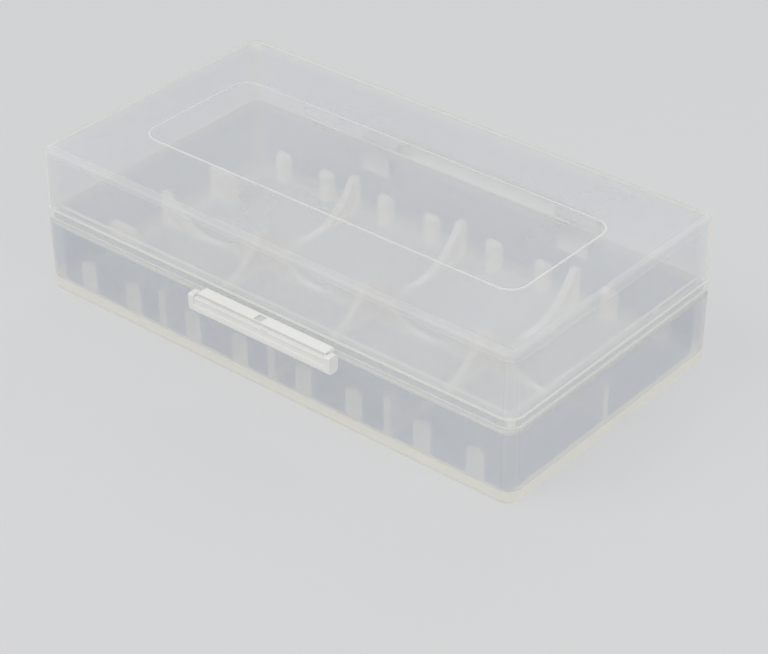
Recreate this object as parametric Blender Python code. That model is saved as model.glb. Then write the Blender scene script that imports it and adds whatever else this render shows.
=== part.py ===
"""Hinged battery case: a ribbed tray, a lid on a snap hinge and a latch flap.

Metres, +Z up. The origin is the middle of the tray's underside, X runs along the
case, the latch faces -Y and the hinge is at +Y. The lid is modelled closed.
"""
import math

import bmesh
import bpy
from mathutils import Matrix, Vector

# Outer shell of the closed case
case_length = 0.0760
case_width = 0.0406
case_height = 0.0208
parting_height = 0.0105
wall = 0.0013
floor = 0.0009
roof = 0.0009
corner_radius = 0.0019
edge_radius = 0.0007
rim_round = 0.0004
draft = 0.0001
inner_corner_radius = 0.0008
inner_edge_radius = 0.0004
clearance = 0.0003

# Tongue on the tray's rim that the lid's rebate drops over
tongue_height = 0.0010
tongue_thickness = 0.0005

# Cradle that holds two long cells lengthways or four short cells crossways
saddle_share = 0.99
scallop_share = 0.973
cradle_lift = 0.0003
divider_thickness = 0.0011
spine_thickness = 0.0010
cradle_tip_height = 0.0063
end_tip_height = 0.0058
rib_sink = 0.0004

# Bumper pegs on the long walls, a pair to each pocket
peg_radius = 0.0013
peg_height = 0.0052
peg_spread_share = 0.216
peg_top_round = 0.0006

# Stops on the left end wall that keep a long cell from sliding
stop_length = 0.0044
stop_height = 0.0054
stop_thickness = 0.0011
stop_corner_radius = 0.0015

# Raised pad on top of the lid
pad_end_margin = 0.0080
pad_side_margin = 0.0104
pad_radius = 0.0025
pad_rise = 0.00015

# Snap latch at the front: a shelf on the lid, a flap below it, a catch on the tray
latch_offset = 0.0012
latch_width = 0.0228
shelf_depth = 0.0017
shelf_root = 0.0006
shelf_edge = 0.0003
shelf_edge_round = 0.0001
gate_size = 0.0012
gate_corner = 0.00015
gate_depth = 0.0002
gate_offset = -0.0006
tab_width = 0.0009
tab_offset = 0.0011
flap_step = 0.0003
flap_height = 0.00195
lip_thickness = 0.0009
lip_edge = 0.0003
bead_depth = 0.00015
bead_height = 0.0011
bead_round = 0.0004
cheek_thickness = 0.0008
cheek_back = 0.0005
cheek_round = 0.0006
catch_width = 0.0150
catch_drop = 0.0003
catch_thickness = 0.00045
hook_bite = 0.0004
hook_thickness = 0.00045
hook_lead = 0.0002

# Snap hinge at the back: two ears on the tray, one knuckle with stub pins on the lid
hinge_span = 0.0380
ear_length = 0.0050
barrel_radius = 0.0016
pin_radius = 0.0008
pin_recess = 0.0004
web_drop = 0.0036
web_angle = math.radians(48)

# Steps of the rounded forms, and the corner past which an edge shows as sharp
corner_steps = 6
edge_steps = 3
barrel_steps = 20
arc_steps = 14
peg_steps = 6
peg_top_steps = 2
sharp_corner = math.radians(35)

# The two plastics: linear colour, roughness and the share of light let through
shell_colour = (0.62, 0.66, 0.72)
shell_roughness = 0.32
shell_clarity = 0.6
latch_colour = (0.74, 0.74, 0.70)
latch_roughness = 0.28
latch_clarity = 0.4

# Places that follow from the sizes above
half_length = case_length / 2
half_width = case_width / 2
inner_length = half_length - wall
inner_width = half_width - wall
pocket_pitch = (inner_length + clearance) / 2
lane_middle = inner_width / 2
saddle_radius = lane_middle * saddle_share
scallop_radius = pocket_pitch / 2 * scallop_share
peg_spread = pocket_pitch * peg_spread_share
tray_rim = parting_height - clearance / 2
lid_rim = parting_height + clearance / 2
hinge_y = half_width + barrel_radius + clearance
knuckle_half = hinge_span / 2 - ear_length - clearance
shelf_low = lid_rim
shelf_top = shelf_low + shelf_root
shelf_width = latch_width - 2 * (cheek_thickness + clearance)
flap_top = shelf_top - shelf_edge - clearance
flap_low = flap_top - flap_height
flap_front = shelf_depth + flap_step
flap_crest = flap_front + bead_depth
lip_back = flap_front - lip_thickness
cheek_top = shelf_top - shelf_edge / 2
catch_depth = lip_back - clearance
catch_top = tray_rim - catch_drop
catch_low = catch_top - catch_thickness
hook_top = catch_low - clearance
hook_low = hook_top - hook_thickness
hook_tip = catch_depth - hook_bite
lid_axis = Vector((0, hinge_y, parting_height))
flap_axis = Vector((latch_offset, clearance / 2 - half_width - flap_front, flap_top + clearance / 2))

# Upright directions for outlines that are drawn flat and then stood up
along_x = Matrix(((0, 0, 1, 0), (1, 0, 0, 0), (0, 1, 0, 0), (0, 0, 0, 1)))
along_y = Matrix(((1, 0, 0, 0), (0, 0, -1, 0), (0, 1, 0, 0), (0, 0, 0, 1)))


def clear_scene():
    for item in list(bpy.data.objects):
        bpy.data.objects.remove(item, do_unlink=True)


def new_collection(name):
    group = bpy.data.collections.new(name)
    bpy.context.scene.collection.children.link(group)
    return group


def plastic(name, colour, roughness, clarity):
    """A milky moulded plastic."""
    finish = bpy.data.materials.new(name)
    finish.use_nodes = True
    shader = finish.node_tree.nodes["Principled BSDF"]
    shader.inputs["Base Color"].default_value = (*colour, 1)
    shader.inputs["Roughness"].default_value = roughness
    shader.inputs["Metallic"].default_value = 0
    shader.inputs["Transmission Weight"].default_value = clarity
    return finish


def object_from_bmesh(name, shape):
    bmesh.ops.recalc_face_normals(shape, faces=shape.faces)
    mesh = bpy.data.meshes.new(name)
    shape.to_mesh(mesh)
    shape.free()
    item = bpy.data.objects.new(name, mesh)
    tools.objects.link(item)
    return item


def rounded_block(name, half_x, half_y, low, high, corner,
                  low_round=0, high_round=0, low_draft=0, high_draft=0):
    """A box with rounded upright corners, drafted ends and rounded end edges."""
    shape = bmesh.new()
    bmesh.ops.create_cube(shape, size=1)
    bmesh.ops.scale(shape, vec=(2 * half_x, 2 * half_y, high - low), verts=shape.verts)
    bmesh.ops.translate(shape, vec=(0, 0, (low + high) / 2), verts=shape.verts)
    for vert in shape.verts:
        inset = low_draft if vert.co.z < (low + high) / 2 else high_draft
        vert.co.x -= math.copysign(inset, vert.co.x)
        vert.co.y -= math.copysign(inset, vert.co.y)
    half = (high - low) / 2
    uprights = [edge for edge in shape.edges if abs(edge.verts[0].co.z - edge.verts[1].co.z) > half]
    bmesh.ops.bevel(shape, geom=uprights, offset=corner, segments=corner_steps, profile=0.5, affect="EDGES")
    for level, radius in ((low, low_round), (high, high_round)):
        if radius:
            shape.faces.ensure_lookup_table()
            flat = [face for face in shape.faces if abs(face.normal.z) > 0.5]
            cap = min(flat, key=lambda face: abs(face.calc_center_median().z - level))
            bmesh.ops.bevel(shape, geom=list(cap.edges), offset=radius, segments=edge_steps,
                            profile=0.5, affect="EDGES")
    return object_from_bmesh(name, shape)


def outline_solid(name, outline, depth, upright, place):
    """A flat closed outline of (u, v) points, given a depth, stood up and put in place."""
    curve = bpy.data.curves.new(name, "CURVE")
    curve.dimensions = "2D"
    curve.fill_mode = "BOTH"
    curve.extrude = depth / 2
    spline = curve.splines.new("POLY")
    spline.points.add(len(outline) - 1)
    for point, (u, v) in zip(spline.points, outline):
        point.co = (u, v, 0, 1)
    spline.use_cyclic_u = True
    drawn = bpy.data.objects.new(name, curve)
    tools.objects.link(drawn)
    drawn.matrix_world = Matrix.Translation(place) @ upright
    bpy.context.view_layer.update()
    mesh = bpy.data.meshes.new_from_object(drawn.evaluated_get(bpy.context.evaluated_depsgraph_get()))
    mesh.transform(drawn.matrix_world)
    bpy.data.objects.remove(drawn, do_unlink=True)
    shape = bmesh.new()
    shape.from_mesh(mesh)
    bpy.data.meshes.remove(mesh)
    bmesh.ops.remove_doubles(shape, verts=shape.verts, dist=clearance / 100)
    return object_from_bmesh(name, shape)


def round_bar(name, radius, half_span, centre):
    """A cylinder along X."""
    shape = bmesh.new()
    bmesh.ops.create_cone(shape, cap_ends=True, segments=barrel_steps, radius1=radius, radius2=radius,
                          depth=2 * half_span)
    bmesh.ops.rotate(shape, matrix=Matrix.Rotation(math.pi / 2, 3, "Y"), verts=shape.verts)
    bmesh.ops.translate(shape, vec=centre, verts=shape.verts)
    return object_from_bmesh(name, shape)


def combine(body, tool, operation):
    """Apply one Boolean step to a body and drop the tool that made it."""
    step = body.modifiers.new(operation.title(), "BOOLEAN")
    step.operation = operation
    step.solver = "EXACT"
    step.object = tool
    bpy.context.view_layer.update()
    shaped = bpy.data.meshes.new_from_object(body.evaluated_get(bpy.context.evaluated_depsgraph_get()))
    body.modifiers.remove(step)
    body.data = shaped
    bpy.data.objects.remove(tool, do_unlink=True)


def add(body, tool):
    combine(body, tool, "UNION")


def cut(body, tool):
    combine(body, tool, "DIFFERENCE")


def arc(centre, radius, start, end, steps):
    """Points along an arc, both ends included."""
    turns = [start + (end - start) * step / steps for step in range(steps + 1)]
    return [(centre[0] + radius * math.cos(turn), centre[1] + radius * math.sin(turn)) for turn in turns]


def scalloped_outline(half_span, centres, radius, base, tip, end_tip):
    """A rib's outline: a row of round hollows cut into its flat top."""
    bottom = base + cradle_lift
    outline = [(-half_span, base - rib_sink), (half_span, base - rib_sink), (half_span, end_tip)]
    for centre in sorted(centres, reverse=True):
        right_top = end_tip if centre == max(centres) else tip
        left_top = end_tip if centre == min(centres) else tip
        right_angle = math.asin((right_top - bottom - radius) / radius)
        left_angle = -math.pi - math.asin((left_top - bottom - radius) / radius)
        outline += arc((centre, bottom + radius), radius, right_angle, left_angle, arc_steps)
    outline.append((-half_span, end_tip))
    return outline


def hinge_barrel(name, half_span, middle, side):
    """A round barrel on a web that leaves the wall on the tray's side (-1) or the lid's side (1)."""
    rim = clearance / 2 + rim_round
    wall_core = half_width - wall / 2
    end_angle = -math.pi - math.asin(rim / barrel_radius)
    outline = arc((hinge_y, 0), barrel_radius, web_angle, end_angle, barrel_steps)
    outline += [(wall_core, rim), (wall_core, web_drop), (half_width, web_drop)]
    outline = [(y, parting_height + side * z) for y, z in outline]
    return outline_solid(name, outline, 2 * half_span, along_x, (middle, 0, 0))


def latch_point(depth, height):
    """A place on the latch's section: depth outwards from the front wall, height above the table."""
    return (-half_width - depth, height)


def latch_section(name, section, length, middle):
    outline = [latch_point(depth, height) for depth, height in section]
    return outline_solid(name, outline, length, along_x, (middle, 0, 0))


def make_tray():
    """The lower half: shell, rim tongue, cradle, pegs, stops, latch catch and hinge ears."""
    tray = rounded_block("base_tray", half_length, half_width, 0, tray_rim, corner_radius,
                         low_round=edge_radius, high_round=rim_round, low_draft=draft)
    tongue_top = parting_height + tongue_height
    add(tray, rounded_block("tongue", inner_length + tongue_thickness, inner_width + tongue_thickness,
                            tray_rim - tongue_height, tongue_top, inner_corner_radius + tongue_thickness,
                            high_round=rim_round / 2))
    ear_middle = (hinge_span - ear_length) / 2
    for side in (-1, 1):
        add(tray, hinge_barrel("ear", ear_length / 2, side * ear_middle, -1))
    catch = [(-wall / 2, catch_low), (catch_depth, catch_low),
             (catch_depth, catch_top - catch_thickness / 2), (0, catch_top), (-wall / 2, catch_top)]
    add(tray, latch_section("catch", catch, catch_width, latch_offset))
    cut(tray, rounded_block("cavity", inner_length, inner_width, floor, tongue_top + wall,
                            inner_corner_radius, low_round=inner_edge_radius, low_draft=draft))
    cut(tray, round_bar("bore", pin_radius + clearance, hinge_span, lid_axis))
    add_cradle(tray)
    add_pegs(tray)
    add_stops(tray)
    return tray


def pocket_centres():
    return [pocket_pitch * (index + 0.5) for index in range(-2, 2)]


def add_cradle(tray):
    """Three cross dividers with a saddle in each lane, and the scalloped spine between the lanes."""
    lanes = (-lane_middle, lane_middle)
    saddles = scalloped_outline(inner_width + rib_sink, lanes, saddle_radius, floor, cradle_tip_height,
                                cradle_tip_height)
    for index in (-1, 0, 1):
        place = (index * pocket_pitch, 0, 0)
        add(tray, outline_solid("divider", saddles, divider_thickness, along_x, place))
    scallops = scalloped_outline(inner_length + rib_sink, pocket_centres(), scallop_radius, floor,
                                 cradle_tip_height - cradle_lift, end_tip_height)
    add(tray, outline_solid("spine", scallops, spine_thickness, along_y, (0, 0, 0)))


def add_pegs(tray):
    """Half-round bumpers that stand on the floor against both long walls."""
    foot = floor - rib_sink
    outline = arc((0, 0), peg_radius, 0, -math.pi, peg_steps)
    outline += [(-peg_radius, wall / 2), (peg_radius, wall / 2)]
    for side in (-1, 1):
        for centre in pocket_centres():
            for offset in (-peg_spread, peg_spread):
                flat = [(u, side * v) for u, v in outline]
                place = (centre + offset, side * inner_width, (foot + peg_height) / 2)
                peg = outline_solid("peg", flat, peg_height - foot, Matrix.Identity(4), place)
                soften_top(peg, peg_height, peg_top_round)
                add(tray, peg)


def soften_top(item, level, radius):
    """Round the edges of a solid's flat top."""
    shape = bmesh.new()
    shape.from_mesh(item.data)
    bmesh.ops.dissolve_limit(shape, angle_limit=math.radians(1), verts=shape.verts, edges=shape.edges)
    top = max(shape.faces, key=lambda face: face.calc_center_median().z + face.normal.z)
    bmesh.ops.bevel(shape, geom=list(top.edges), offset=radius, segments=peg_top_steps,
                    profile=0.5, affect="EDGES")
    shape.to_mesh(item.data)
    shape.free()


def add_stops(tray):
    """Upright plates on the left end wall, one in the middle of each lane."""
    foot = floor - rib_sink
    start = -inner_length - wall / 2
    end = -inner_length + stop_length
    centre = (end - stop_corner_radius, stop_height - stop_corner_radius)
    outline = [(start, foot), (end, foot)]
    outline += arc(centre, stop_corner_radius, 0, math.pi / 2, edge_steps)
    outline.append((start, stop_height))
    for lane in (-lane_middle, lane_middle):
        add(tray, outline_solid("stop", outline, stop_thickness, along_y, (0, lane, 0)))


def make_lid():
    """The upper half: shell, rebate, raised pad, latch shelf and hinge knuckle."""
    lid = rounded_block("lid_cover", half_length, half_width, lid_rim, case_height, corner_radius,
                        low_round=rim_round, high_round=edge_radius, high_draft=draft)
    pad_low = case_height - roof / 2
    add(lid, rounded_block("pad", half_length - pad_end_margin, half_width - pad_side_margin, pad_low,
                           case_height + pad_rise, pad_radius))
    shelf_thin = lip_back - clearance
    shelf = [(-wall / 2, shelf_low), (shelf_thin - shelf_edge, shelf_low),
             (shelf_thin, shelf_top - shelf_edge), (shelf_depth, shelf_top - shelf_edge),
             (shelf_depth, shelf_top - shelf_edge_round), (shelf_depth - shelf_edge_round, shelf_top),
             (-wall / 2, shelf_top)]
    add(lid, latch_section("shelf", shelf, shelf_width, latch_offset))
    gate_y = -half_width - shelf_depth / 2
    gate = rounded_block("gate", gate_size / 2, gate_size / 2, shelf_top - gate_depth, shelf_top + wall,
                         gate_corner)
    gate.data.transform(Matrix.Translation((latch_offset + gate_offset, gate_y, 0)))
    cut(lid, gate)
    add(lid, hinge_barrel("knuckle", knuckle_half, 0, 1))
    add(lid, round_bar("stub_pins", pin_radius, hinge_span / 2 - pin_recess, lid_axis))
    cut(lid, rounded_block("cavity", inner_length, inner_width, lid_rim - wall, case_height - roof,
                           inner_corner_radius, high_round=inner_edge_radius, high_draft=draft))
    rebate = tongue_thickness + clearance
    cut(lid, rounded_block("rebate", inner_length + rebate, inner_width + rebate, lid_rim - wall,
                           parting_height + tongue_height + clearance, inner_corner_radius + rebate))
    return lid


def make_flap():
    """The flap that hangs from the shelf: a beaded lip, a hook behind it and a cheek at each end."""
    inner_bead = (lip_back + bead_round, flap_low + bead_round)
    outer_bead = (flap_crest - bead_round, flap_low + bead_round)
    lip = [(lip_back, flap_top)]
    lip += arc(inner_bead, bead_round, math.pi, math.pi * 1.5, edge_steps)
    lip += arc(outer_bead, bead_round, -math.pi / 2, 0, edge_steps)
    lip += [(flap_crest, flap_low + bead_height - bead_depth), (flap_front, flap_low + bead_height),
            (flap_front, flap_top - lip_edge), (flap_front + bead_depth / 2, flap_top)]
    flap = latch_section("latch_flap", lip, latch_width - cheek_thickness, latch_offset)
    hook = [(lip_back + lip_thickness / 2, hook_top), (hook_tip, hook_top), (hook_tip, hook_low + hook_lead),
            (hook_tip + hook_lead, hook_low), (lip_back + lip_thickness / 2, hook_low - hook_lead)]
    add(flap, latch_section("hook", hook, catch_width, latch_offset))
    tab = [(flap_front, flap_top - lip_edge), (flap_crest, flap_top - lip_edge),
           (flap_crest, shelf_top - bead_depth), (flap_front, shelf_top - bead_depth)]
    add(flap, latch_section("tab", tab, tab_width, latch_offset + tab_offset))
    inner = cheek_back + cheek_round
    cheek = arc((inner, flap_low + cheek_round), cheek_round, math.pi, math.pi * 1.5, edge_steps)
    cheek += arc(outer_bead, bead_round, -math.pi / 2, 0, edge_steps)
    cheek += [(flap_crest, cheek_top - bead_depth), (flap_crest - bead_depth, cheek_top)]
    cheek += arc((inner, cheek_top - cheek_round), cheek_round, math.pi / 2, math.pi, edge_steps)
    for side in (-1, 1):
        middle = latch_offset + side * (latch_width - cheek_thickness) / 2
        add(flap, latch_section("cheek", cheek, cheek_thickness, middle))
    return flap


def finish(item, name, material, origin, parent=None):
    """Set a piece's name, finish and origin, and hang it on what it moves with."""
    item.name = name
    item.data.name = name
    item.data.materials.clear()
    item.data.materials.append(material)
    item.data.transform(Matrix.Translation(-origin))
    item.data.shade_smooth()
    item.data.set_sharp_from_angle(angle=sharp_corner)
    item.location = origin - parent.location if parent else origin
    item.parent = parent
    tools.objects.unlink(item)
    parts.objects.link(item)


clear_scene()
parts = new_collection("battery_case")
tools = new_collection("tools")
shell_plastic = plastic("milky_shell", shell_colour, shell_roughness, shell_clarity)
latch_plastic = plastic("milky_latch", latch_colour, latch_roughness, latch_clarity)
tray_piece = make_tray()
lid_piece = make_lid()
flap_piece = make_flap()
finish(tray_piece, "base_tray", shell_plastic, Vector((0, 0, 0)))
finish(lid_piece, "lid_cover", shell_plastic, lid_axis)
finish(flap_piece, "latch_flap", latch_plastic, flap_axis, lid_piece)
bpy.data.collections.remove(tools)
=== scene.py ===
"""Dresses a small hinged battery case: milky see-through tray, lid and latch flap."""
import math

import bpy
from bpy.props import FloatProperty, FloatVectorProperty, PointerProperty
from mathutils import Matrix, Vector


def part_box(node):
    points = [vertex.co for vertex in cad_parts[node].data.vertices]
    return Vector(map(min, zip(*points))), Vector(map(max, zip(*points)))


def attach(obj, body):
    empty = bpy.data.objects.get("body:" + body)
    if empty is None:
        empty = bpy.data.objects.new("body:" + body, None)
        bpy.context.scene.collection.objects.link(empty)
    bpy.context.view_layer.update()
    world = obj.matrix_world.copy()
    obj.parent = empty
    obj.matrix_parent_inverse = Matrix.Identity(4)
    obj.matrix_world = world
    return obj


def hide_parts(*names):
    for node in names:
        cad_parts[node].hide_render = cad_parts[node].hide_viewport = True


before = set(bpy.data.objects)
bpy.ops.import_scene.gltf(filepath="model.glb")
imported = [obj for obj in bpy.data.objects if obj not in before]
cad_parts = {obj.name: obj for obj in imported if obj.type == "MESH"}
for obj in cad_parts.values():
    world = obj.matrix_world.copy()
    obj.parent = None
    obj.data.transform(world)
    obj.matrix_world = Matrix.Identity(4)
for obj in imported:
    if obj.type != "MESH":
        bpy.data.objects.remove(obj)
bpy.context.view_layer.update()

bl_info = {
    "name": "Milky battery case",
    "version": (1, 0, 0),
    "blender": (4, 5, 0),
    "location": "View3D > Sidebar > Battery case",
    "description": "Models and finishes a hinged battery case with a ribbed tray",
    "category": "Object",
}

# The highest corner of the tray
tray_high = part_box("base_tray")[1]

# Outer faces, levels and thicknesses of the mouldings
half_length = tray_high.x
half_width = 0.0203
wall = 0.0013
floor_top = 0.0009
roof_top = 0.0208
tray_rim = 0.01035
lid_rim = 0.01065
rim_round = 0.0004
inner_round = 0.0005
peg_radius = 0.0013
shelf_top = 0.01125
gate_left = 0
gate_right = 0.0012

# Small measures for merging points, telling faces apart and outlining the lid's raised pad with a painted
# highlight line
merge_gap = 0.000002
skin = 0.00002
flat_angle = math.radians(0.5)
edge_angle = math.radians(50)
edge_steps = 2
flat_weight = 100
pad_least_area = 0.0001
pad_highlight_width = 0.0002

# How far a face's normal points along an axis, by which faces are told apart
low_rise = 0.1
rise = 0.2
peg_side = 0.85
square = 0.9
flat = 0.97
wall_flat = 0.98

# Grain, clouds, gloss and milkiness of the plastic
cloud_scale = 55
cloud_detail = 3
cloud_start = 0.3
cloud_end = 0.7
cloud_shade = 0.97
grain_scale = 3200
grain_detail = 4
least_cover = 0.9
cloud_cover = 0.2
light_let_through = 0.88
shell_glow = 0.4
latch_glow = 0.1
least_roughness = 0.24
grain_roughness = 0.12
grain_strength = 0.05
grain_depth = 0.00002
plastic_ior = 1.49
fade = 1.12

# Where the plastic looks denser, and where a painted highlight line and a painted glow go: heights of the
# bands and their shares seen from outside
corner_share = 0.15
bottom_band = 0.0019
bottom_share = 0.9
# Height of the painted glow along the feet of ribs and pegs
foot_glow_band = 0.0005
joint_band = 0.0012
roof_band = 0.0009
roof_share = 0.3
# A painted highlight line on the lid's wall: its height, width and share
lid_highlight_line = 0.0122
lid_highlight_line_width = 0.0002
lid_highlight_line_share = 0.9

# The stage: floor, sky and soft square lights with their place, size and power
ground_size = 6
ground_roughness = 0.6
sky_colour = (0.97, 0.98, 1, 1)
sky_strength = 0.5
lights = {
    "key_light": ((-0.3, -0.5, 0.65), 0.6, 3.2),
    "side_light": ((0.75, -0.1, 0.45), 0.5, 1.8),
    "back_light": ((-0.2, 0.7, 0.5), 0.5, 1.0),
}

# The photograph's viewpoint
camera_place = Vector((0.169021, -0.197657, 0.169534))
camera_aim = Vector((-0.53952, 0.63894, -0.54834))
camera_roll = math.radians(-0.376)
camera_lens = 113.605
camera_sensor = 36
camera_start = 0.01


class CaseSettings(bpy.types.PropertyGroup):
    """Colours and sizes of the case that a user would change."""
    # The lid and the tray are the same plastic, given as a lit and a shaded copy: painted light makes the
    # lid's walls lighter, painted shade makes the tray's walls darker.
    lid_lit_colour: FloatVectorProperty(
        name="Lid wall colour", description="Milky plastic of the lid's thin walls", subtype="COLOR",
        default=(0.80, 0.82, 0.84), min=0, max=1)
    tray_shaded_colour: FloatVectorProperty(
        name="Tray wall colour", description="Milky plastic of the tray's thin walls", subtype="COLOR",
        default=(0.62, 0.65, 0.70), min=0, max=1)
    rib_colour: FloatVectorProperty(
        name="Rib colour", description="Thicker plastic of ribs, pegs and hinge", subtype="COLOR",
        default=(0.99, 0.97, 0.90), min=0, max=1)
    # Painted light: the tray's floor is the same plastic as its walls, painted lighter than them.
    floor_lit_colour: FloatVectorProperty(
        name="Floor colour", description="Thicker plastic of the tray's floor", subtype="COLOR",
        default=(0.73, 0.745, 0.75), min=0, max=1)
    edge_colour: FloatVectorProperty(
        name="Edge colour", description="Walls seen along their length, at corners and round the floor",
        subtype="COLOR", default=(0.90, 0.88, 0.80), min=0, max=1)
    # Painted highlights: this colour paints the bright lines on the lid's lower lip, round the lid's pad, on
    # the peg sides, along the feet of ribs and pegs and on the rounded latch edges.
    highlight_colour: FloatVectorProperty(
        name="Rim colour", description="Thin edges that gather light, also round the latch", subtype="COLOR",
        default=(0.95, 0.95, 0.92), min=0, max=1)
    latch_colour: FloatVectorProperty(
        name="Latch colour", description="Shelf above the latch flap", subtype="COLOR",
        default=(0.91, 0.90, 0.86), min=0, max=1)
    flap_colour: FloatVectorProperty(
        name="Flap colour", description="Latch flap that hangs from the shelf", subtype="COLOR",
        default=(0.86, 0.86, 0.82), min=0, max=1)
    # Painted shade: this colour darkens the front of the shelf and the recess of the gate in its top.
    shelf_shade_colour: FloatVectorProperty(
        name="Mark colour", description="Shaded front of the shelf, and the gate mark in its top",
        subtype="COLOR", default=(0.70, 0.70, 0.68), min=0, max=1)
    # Painted shade: this colour darkens the faces inside the joint between tray and lid.
    joint_shade_colour: FloatVectorProperty(
        name="Seam colour", description="Faces inside the joint between tray and lid", subtype="COLOR",
        default=(0.72, 0.73, 0.71), min=0, max=1)
    lid_cover: FloatProperty(
        name="Lid milkiness", description="Share of what lies behind that one face of the lid hides",
        default=0.30, min=0, max=1, subtype="FACTOR")
    tray_cover: FloatProperty(
        name="Tray milkiness", description="Share of what lies behind that one face of the tray hides",
        default=0.44, min=0, max=1, subtype="FACTOR")
    rib_cover: FloatProperty(
        name="Rib milkiness", description="Share of what lies behind that one face of a rib hides",
        default=0.72, min=0, max=1, subtype="FACTOR")
    rim_cover: FloatProperty(
        name="Rim milkiness", description="Share that one face of a rim, the floor or the latch hides",
        default=0.9, min=0, max=1, subtype="FACTOR")
    edge_round: FloatProperty(
        name="Edge rounding", description="Rounding of the small moulded edges",
        default=0.00012, min=0, unit="LENGTH")
    stage_colour: FloatVectorProperty(
        name="Stage colour", description="Plain pale floor that the case stands on", subtype="COLOR",
        default=(0.70, 0.70, 0.70), min=0, max=1)


def settings():
    return bpy.context.scene.battery_case


def deselect():
    if bpy.context.object and bpy.context.object.mode != "OBJECT":
        bpy.ops.object.mode_set(mode="OBJECT")
    bpy.ops.object.select_all(action="DESELECT")


def take(item):
    """Make one object the only selected and active one."""
    deselect()
    item.select_set(True)
    bpy.context.view_layer.objects.active = item


def moulding(node, name):
    """A clean copy of a CAD piece, merged and with its flat faces whole, ready for finer edges."""
    piece = bpy.data.objects.new(name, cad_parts[node].data.copy())
    piece.data.name = name
    bpy.context.scene.collection.objects.link(piece)
    take(piece)
    bpy.ops.mesh.customdata_custom_splitnormals_clear()
    bpy.ops.object.mode_set(mode="EDIT")
    bpy.ops.mesh.select_all(action="SELECT")
    bpy.ops.mesh.remove_doubles(threshold=merge_gap)
    bpy.ops.mesh.dissolve_limited(angle_limit=flat_angle)
    bpy.ops.object.mode_set(mode="OBJECT")
    return piece


def soften(piece, width):
    """Round the sharp moulded edges and shade the rest smooth."""
    take(piece)
    rounding = piece.modifiers.new("Moulded edges", "BEVEL")
    rounding.width = width
    rounding.segments = edge_steps
    rounding.limit_method = "ANGLE"
    rounding.angle_limit = edge_angle
    bpy.ops.object.modifier_apply(modifier=rounding.name)
    bpy.ops.object.shade_smooth_by_angle(angle=edge_angle)
    flats = piece.modifiers.new("Flat faces", "WEIGHTED_NORMAL")
    flats.weight = flat_weight
    flats.keep_sharp = True
    bpy.ops.object.modifier_apply(modifier=flats.name)


def outline_pad(piece):
    """A narrow band of faces round the top of the lid's raised pad, which carries a painted highlight line.
    """
    take(piece)
    for face in piece.data.polygons:
        face.select = face.center.z > roof_top + skin and face.area > pad_least_area
    bpy.ops.object.mode_set(mode="EDIT")
    bpy.ops.mesh.inset(thickness=pad_highlight_width)
    bpy.ops.object.mode_set(mode="OBJECT")


def link(tree, source, target):
    tree.links.new(source, target)


def ramp(tree, value, start, end):
    """A smooth 0 to 1 step between two values."""
    node = tree.nodes.new("ShaderNodeMapRange")
    node.interpolation_type = "SMOOTHSTEP"
    node.inputs["From Min"].default_value = start
    node.inputs["From Max"].default_value = end
    link(tree, value, node.inputs["Value"])
    return node.outputs["Result"]


def maths(tree, operation, *values):
    """The result of a sum on values that are sockets or plain numbers."""
    node = tree.nodes.new("ShaderNodeMath")
    node.operation = operation
    for socket, value in zip(node.inputs, values):
        if isinstance(value, bpy.types.NodeSocket):
            link(tree, value, socket)
        else:
            socket.default_value = value
    return node.outputs["Value"]


def mix_colour(tree, factor, first, second):
    node = tree.nodes.new("ShaderNodeMix")
    node.data_type = "RGBA"
    sockets = [socket for socket in node.inputs if socket.enabled]
    link(tree, factor, sockets[0])
    for socket, value in zip(sockets[1:], (first, second)):
        if isinstance(value, bpy.types.NodeSocket):
            link(tree, value, socket)
        else:
            socket.default_value = (*value, 1)
    return [socket for socket in node.outputs if socket.enabled][0]


def noise(tree, place, scale, detail):
    node = tree.nodes.new("ShaderNodeTexNoise")
    node.inputs["Scale"].default_value = scale
    node.inputs["Detail"].default_value = detail
    link(tree, place, node.inputs["Vector"])
    return node.outputs["Fac"]


def near(tree, value, level, width):
    """1 where a value is within width of level, fading out just past it."""
    gap = maths(tree, "ABSOLUTE", maths(tree, "SUBTRACT", value, level))
    return ramp(tree, gap, width * fade, width)


def thick_places(tree, place, thick):
    """How thick the plastic looks, from 0 on plain walls to 1 where the eye runs along a wall; the same
    bands also place a painted glow and a painted highlight line.

    Corners and end edges look thick most of all from behind, through the plastic itself.
    """
    split = tree.nodes.new("ShaderNodeSeparateXYZ")
    link(tree, place, split.inputs["Vector"])
    x = maths(tree, "ABSOLUTE", split.outputs["X"])
    y = maths(tree, "ABSOLUTE", split.outputs["Y"])
    z = split.outputs["Z"]
    corner = maths(tree, "MULTIPLY", near(tree, x, half_length, wall), near(tree, y, half_width, wall))
    reach = thick["width"]
    side = maths(tree, "MAXIMUM", near(tree, x, half_length, reach), near(tree, y, half_width, reach))
    end = maths(tree, "MULTIPLY", near(tree, z, thick["level"], thick["depth"]), side)
    behind = tree.nodes.new("ShaderNodeNewGeometry").outputs["Backfacing"]
    shares = []
    for places, share in ((corner, thick["corner_share"]), (end, thick["end_share"])):
        seen = maths(tree, "MULTIPLY_ADD", behind, 1 - share, share)
        shares.append(maths(tree, "MULTIPLY", places, seen))
    mask = maths(tree, "MAXIMUM", *shares)
    # A painted highlight line along the wall at one height
    if "line" in thick:
        line = near(tree, z, thick["line"], thick["line_width"])
        mask = maths(tree, "MAXIMUM", mask, maths(tree, "MULTIPLY", line, thick["line_share"]))
    return mask


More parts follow.
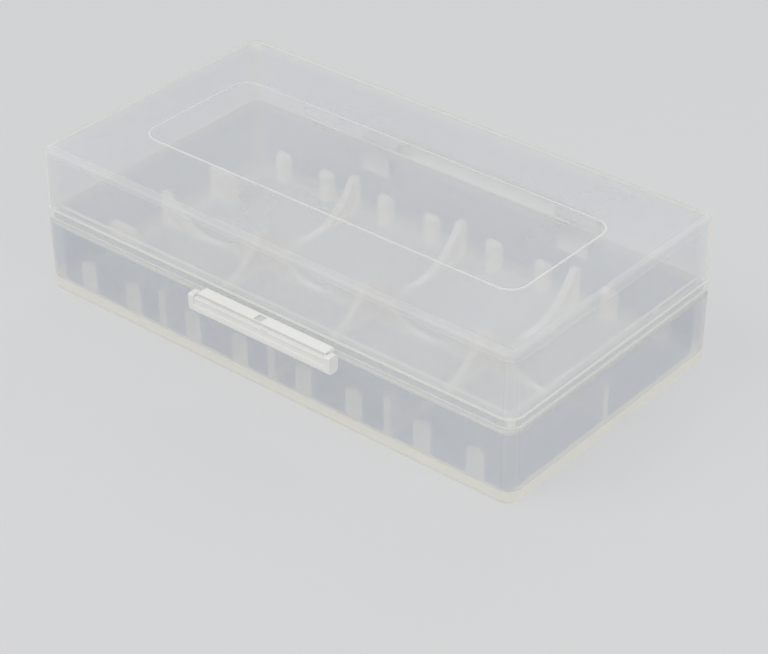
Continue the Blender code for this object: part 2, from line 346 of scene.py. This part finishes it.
def milky(name, colour, cover, glow_share=shell_glow, thick=None):
    """Milky polypropylene with a cloudy tint and a fine satin grain.

    The glow is the share of light that comes through from behind, and thick says where it is denser and
    where painted highlight and glow bands go.
    """
    finish = bpy.data.materials.new(name)
    finish.use_nodes = True
    tree = finish.node_tree
    shader = tree.nodes["Principled BSDF"]
    place = tree.nodes.new("ShaderNodeTexCoord").outputs["Object"]
    clouds = noise(tree, place, cloud_scale, cloud_detail)
    grain = noise(tree, place, grain_scale, grain_detail)
    shaded = [value * cloud_shade for value in colour]
    tint = mix_colour(tree, ramp(tree, clouds, cloud_start, cloud_end), shaded, colour)
    alpha = maths(tree, "MULTIPLY_ADD", clouds, cover * cloud_cover, cover * least_cover)
    if thick:
        mask = thick_places(tree, place, thick)
        tint = mix_colour(tree, mask, tint, thick["colour"])
        gap = maths(tree, "SUBTRACT", thick["cover"], alpha)
        alpha = maths(tree, "ADD", alpha, maths(tree, "MULTIPLY", mask, gap))
    glow = tree.nodes.new("ShaderNodeBsdfTranslucent")
    link(tree, tint, shader.inputs["Base Color"])
    link(tree, tint, glow.inputs["Color"])
    rays = tree.nodes.new("ShaderNodeLightPath")
    spread = maths(tree, "MAXIMUM", rays.outputs["Is Shadow Ray"], rays.outputs["Is Diffuse Ray"])
    blocked = maths(tree, "MULTIPLY_ADD", spread, -light_let_through, 1)
    milk = tree.nodes.new("ShaderNodeMixShader")
    milk.inputs["Fac"].default_value = glow_share
    link(tree, shader.outputs["BSDF"], milk.inputs[1])
    link(tree, glow.outputs["BSDF"], milk.inputs[2])
    seen = tree.nodes.new("ShaderNodeMixShader")
    link(tree, maths(tree, "MULTIPLY", alpha, blocked), seen.inputs["Fac"])
    link(tree, tree.nodes.new("ShaderNodeBsdfTransparent").outputs["BSDF"], seen.inputs[1])
    link(tree, milk.outputs["Shader"], seen.inputs[2])
    link(tree, seen.outputs["Shader"], tree.nodes["Material Output"].inputs["Surface"])
    rough = maths(tree, "MULTIPLY_ADD", grain, grain_roughness, least_roughness)
    link(tree, rough, shader.inputs["Roughness"])
    bump = tree.nodes.new("ShaderNodeBump")
    bump.inputs["Strength"].default_value = grain_strength
    bump.inputs["Distance"].default_value = grain_depth
    link(tree, grain, bump.inputs["Height"])
    link(tree, bump.outputs["Normal"], shader.inputs["Normal"])
    link(tree, bump.outputs["Normal"], glow.inputs["Normal"])
    shader.inputs["IOR"].default_value = plastic_ior
    return finish


def put_finishes(piece, finishes, kind):
    """Give each face the finish that kind names for its middle and its normal."""
    names = list(finishes)
    piece.data.materials.clear()
    for name in names:
        piece.data.materials.append(finishes[name])
    for face in piece.data.polygons:
        face.material_index = names.index(kind(face.center, face.normal))


def depth_inside(centre):
    """How far a point lies inside the outer faces of the case's side walls."""
    return min(half_length - abs(centre.x), half_width - abs(centre.y))


def tray_kind(centre, normal):
    """The finish of one face of the tray. Walls that lean inwards are told by the wall they are nearest."""
    depth = depth_inside(centre)
    if depth < -skin:
        return "knuckle"
    # Faces inside the joint, the seam and the land, get painted shade.
    if centre.z > tray_rim and depth < wall - skin:
        return "seam"
    if centre.z > tray_rim - rim_round and normal.z > rise:
        return "land"
    if centre.z < skin:
        return "base"
    if centre.z < floor_top + skin and normal.z > square:
        return "floor"
    across = max(half_length - abs(centre.x), half_width - abs(centre.y))
    facing = abs(normal.x) if half_length - abs(centre.x) == depth else abs(normal.y)
    inner = depth < wall + inner_round and (facing > wall_flat or across < wall + 2 * inner_round)
    if depth < wall - skin or inner:
        return "wall"
    if centre.z < floor_top + inner_round and depth < wall + 2 * inner_round and normal.z > low_rise:
        return "wall"
    # The sides of the pegs along the front and back walls get the rim finish, a painted highlight.
    along_wall = wall + peg_radius > depth and abs(normal.x) > peg_side
    return "rim" if along_wall and abs(centre.y) > half_width - wall - peg_radius else "rib"


def rounded(normal):
    """True for the narrow rounded faces between the flat ones."""
    return max(abs(normal.x), abs(normal.y), abs(normal.z)) < flat


def shelf_kind(centre, normal):
    """The finish of one face of the latch shelf: painted shade on its front and in the gate recess in its
    top, painted highlights on its rounded faces.
    """
    in_mark = gate_left - skin < centre.x < gate_right + skin
    if in_mark and centre.z < shelf_top - skin and normal.z > -skin:
        return "shelf_shade"
    if rounded(normal):
        return "edge"
    return "shelf_shade" if normal.y < -square else "shelf"


def lid_kind(centre, normal):
    """The finish of one face of the lid. The pad's wide middle face isn't part of its outline."""
    if depth_inside(centre) < -skin:
        return "knuckle" if centre.y > 0 else shelf_kind(centre, normal)
    # The band round the pad gets a painted highlight line.
    if centre.z > roof_top + skin and math.hypot(centre.x, centre.y) > wall:
        return "line"
    # The lid's lower lip, which faces down, gets the rim finish: a painted highlight.
    if centre.z < lid_rim + rim_round and normal.z < -rise:
        return "rim"
    return "wall"


def flap_kind(centre, normal):
    # Rounded faces of the flap get a painted highlight.
    return "edge" if rounded(normal) else "flat"


class CASE_OT_tray(bpy.types.Operator):
    """Model the tray with its ribs, pegs, stops, catch and hinge ears"""
    bl_idname = "battery_case.tray"
    bl_label = "Tray"

    def execute(self, context):
        look = settings()
        piece = moulding("base_tray", "tray_moulding")
        soften(piece, look.edge_round)
        bottom = {
            "colour": look.edge_colour, "cover": look.rim_cover, "corner_share": corner_share,
            "level": 0, "depth": bottom_band, "width": 2 * rim_round, "end_share": bottom_share,
        }
        # A painted glow along the feet of the ribs and pegs; its reach of half the length takes in the whole
        # floor
        foot_glow = {
            "colour": look.highlight_colour, "cover": 1, "corner_share": 0,
            "level": floor_top, "depth": foot_glow_band, "width": half_length, "end_share": 1,
        }
        joint = {
            "colour": look.rib_colour, "cover": look.rim_cover, "corner_share": 0,
            "level": tray_rim, "depth": joint_band, "width": wall, "end_share": 0,
        }
        finishes = {
            # The tray's walls take the darker copy of the plastic, which is painted shade.
            "wall": milky("tray_wall_shaded", look.tray_shaded_colour, look.tray_cover, thick=bottom),
            # The floor's lighter colour is painted light.
            "floor": milky("tray_floor_lit", look.floor_lit_colour, look.rim_cover),
            "base": milky("tray_base", look.edge_colour, look.rim_cover),
            "rib": milky("tray_rib", look.rib_colour, look.rib_cover, thick=foot_glow),
            # The rim finish paints highlights on the sides of the pegs.
            "rim": milky("tray_rim", look.highlight_colour, look.rim_cover, thick=foot_glow),
            # The land and the seam are painted shade inside the joint.
            "land": milky("tray_land_shade", look.joint_shade_colour, look.rim_cover),
            "seam": milky("tray_seam_shade", look.joint_shade_colour, look.rim_cover, thick=joint),
            "knuckle": milky("tray_knuckle", look.rib_colour, 1),
        }
        put_finishes(piece, finishes, tray_kind)
        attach(piece, "base")
        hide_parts("base_tray")
        return {"FINISHED"}


class CASE_OT_lid(bpy.types.Operator):
    """Model the lid with its raised pad, latch shelf and hinge knuckle"""
    bl_idname = "battery_case.lid"
    bl_label = "Lid"

    def execute(self, context):
        look = settings()
        piece = moulding("lid_cover", "lid_moulding")
        soften(piece, look.edge_round)
        outline_pad(piece)
        roof_edge = {
            "colour": look.rib_colour, "cover": look.rim_cover, "corner_share": corner_share,
            "level": roof_top, "depth": roof_band, "width": wall, "end_share": roof_share,
            # The lid's wall gets a painted highlight line at this height.
            "line": lid_highlight_line, "line_width": lid_highlight_line_width, "line_share": lid_highlight_line_share,
        }
        finishes = {
            # The lid's walls take the lighter copy of the plastic, which is painted light.
            "wall": milky("lid_wall_lit", look.lid_lit_colour, look.lid_cover, thick=roof_edge),
            "knuckle": milky("lid_knuckle", look.rib_colour, 1),
            # The lid's rim finish is a painted highlight on its lower lip.
            "rim": milky("lid_rim", look.highlight_colour, look.rim_cover),
            # The pad's outline is a painted highlight.
            "line": milky("lid_highlight_line", look.highlight_colour, look.rim_cover),
            "shelf": milky("lid_shelf", look.latch_colour, look.rim_cover, latch_glow),
            # The rounded faces of the shelf get a painted highlight.
            "edge": milky("lid_shelf_edge_highlight", look.highlight_colour, 1, latch_glow),
            # Painted shade on the shelf's front and in the gate recess.
            "shelf_shade": milky("lid_shelf_shade", look.shelf_shade_colour, 1, latch_glow),
        }
        put_finishes(piece, finishes, lid_kind)
        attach(piece, "lid")
        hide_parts("lid_cover")
        return {"FINISHED"}


class CASE_OT_flap(bpy.types.Operator):
    """Model the latch flap with its bead, cheeks and hook"""
    bl_idname = "battery_case.flap"
    bl_label = "Latch flap"

    def execute(self, context):
        look = settings()
        piece = moulding("latch_flap", "latch_moulding")
        soften(piece, look.edge_round)
        finishes = {
            "flat": milky("latch_bead", look.flap_colour, look.rim_cover, latch_glow),
            # The rounded faces of the flap get a painted highlight.
            "edge": milky("latch_edge_highlight", look.highlight_colour, 1, latch_glow),
        }
        put_finishes(piece, finishes, flap_kind)
        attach(piece, "latch")
        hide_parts("latch_flap")
        return {"FINISHED"}


def plain(name, colour, roughness):
    """An even, opaque finish for the stage."""
    finish = bpy.data.materials.new(name)
    finish.use_nodes = True
    shader = finish.node_tree.nodes["Principled BSDF"]
    shader.inputs["Base Color"].default_value = (*colour, 1)
    shader.inputs["Roughness"].default_value = roughness
    return finish


def lamp(name, place, size, power):
    """A soft square light that looks at the middle of the joint."""
    deselect()
    bpy.ops.object.light_add(type="AREA", location=place)
    light = bpy.context.object
    light.name = name
    light.data.shape = "SQUARE"
    light.data.size = size
    light.data.energy = power
    aim = Vector((0, 0, tray_rim)) - Vector(place)
    light.rotation_euler = aim.to_track_quat("-Z", "Y").to_euler()


class CASE_OT_stage(bpy.types.Operator):
    """Set the floor, the soft lights and the camera"""
    bl_idname = "battery_case.stage"
    bl_label = "Stage"

    def execute(self, context):
        look = settings()
        deselect()
        bpy.ops.mesh.primitive_plane_add(size=ground_size, location=(0, 0, -skin))
        ground = bpy.context.object
        ground.name = "ground"
        ground.data.materials.append(plain("ground", look.stage_colour, ground_roughness))
        for name, (place, size, power) in lights.items():
            lamp(name, place, size, power)
        world = bpy.data.worlds.new("studio")
        world.use_nodes = True
        sky = world.node_tree.nodes["Background"]
        sky.inputs["Color"].default_value = sky_colour
        sky.inputs["Strength"].default_value = sky_strength
        context.scene.world = world
        context.scene.view_settings.view_transform = "Standard"
        place_camera()
        return {"FINISHED"}


def place_camera():
    """Put the camera at the photograph's viewpoint, with its small roll."""
    deselect()
    bpy.ops.object.camera_add(location=camera_place)
    camera = bpy.context.object
    camera.name = "camera"
    camera.data.sensor_width = camera_sensor
    camera.data.lens = camera_lens
    camera.data.clip_start = camera_start
    ahead = camera_aim.normalized()
    level = ahead.cross(Vector((0, 0, 1))).normalized()
    right = math.cos(camera_roll) * level + math.sin(camera_roll) * level.cross(ahead)
    turn = Matrix((right, right.cross(ahead), -ahead)).transposed()
    camera.rotation_euler = turn.to_euler()
    bpy.context.scene.camera = camera


class CASE_PT_panel(bpy.types.Panel):
    """Lists the case's pieces and settings"""
    bl_idname = "CASE_PT_panel"
    bl_label = "Battery case"
    bl_space_type = "VIEW_3D"
    bl_region_type = "UI"
    bl_category = "Battery case"

    def draw(self, context):
        for step in steps:
            self.layout.operator(step.bl_idname)
        for name in CaseSettings.__annotations__:
            self.layout.prop(settings(), name)


steps = (CASE_OT_tray, CASE_OT_lid, CASE_OT_flap, CASE_OT_stage)
classes = (CaseSettings, *steps, CASE_PT_panel)


def register():
    for item in classes:
        bpy.utils.register_class(item)
    bpy.types.Scene.battery_case = PointerProperty(type=CaseSettings)


def unregister():
    del bpy.types.Scene.battery_case
    for item in reversed(classes):
        bpy.utils.unregister_class(item)


def main():
    register()
    bpy.ops.battery_case.tray()
    bpy.ops.battery_case.lid()
    bpy.ops.battery_case.flap()
    bpy.ops.battery_case.stage()


if __name__ == "__main__":
    main()
